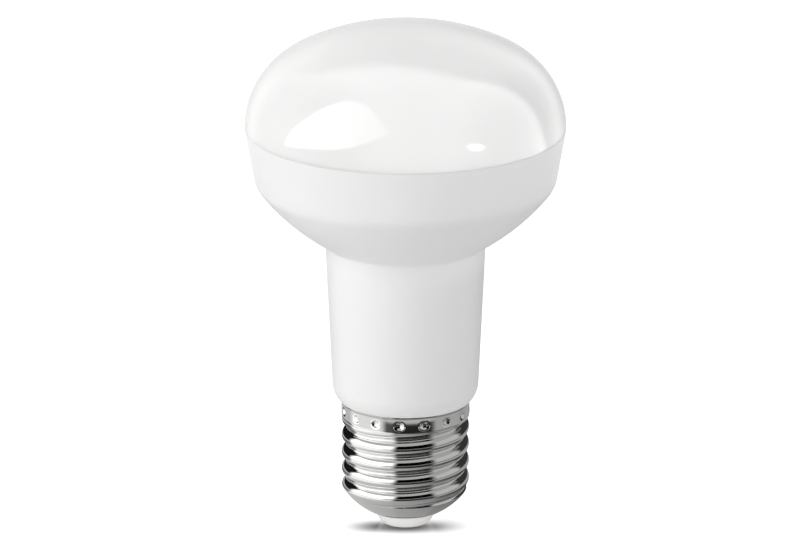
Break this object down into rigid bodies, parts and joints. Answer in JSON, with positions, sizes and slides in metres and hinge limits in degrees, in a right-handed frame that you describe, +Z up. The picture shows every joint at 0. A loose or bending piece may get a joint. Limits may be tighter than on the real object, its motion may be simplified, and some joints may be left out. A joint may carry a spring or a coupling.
{
  "type": "reflector bulb",
  "caption": "Mushroom-shaped reflector lamp with an opal domed front, a white bowl and tapered neck, and a nickel-plated Edison screw cap with insulator and end contact.",
  "frame": {"origin": "middle of the end contact's flat bottom, on the lamp's axis", "axes": "+Z up the axis from the end contact to the top of the dome; the lamp is turned about Z, so X and Y differ only in the thread's phase and the dimples"},
  "size_m": [0.065, 0.065, 0.1055],
  "materials": {
    "opal_diffuser": "opal polycarbonate, glossy, lets light through but can't be seen through",
    "white_housing": "white moulded plastic, satin",
    "nickel_cap": "thin rolled sheet, nickel plated and bright",
    "white_insulator": "white moulded plastic",
    "end_contact": "nickel plated, bright"
  },
  "bodies": {
    "root": {"diffuser": "opal_diffuser", "housing": "white_housing", "screw_cap": "nickel_cap", "insulator": "white_insulator", "contact": "end_contact"}
  },
  "joints": []
}
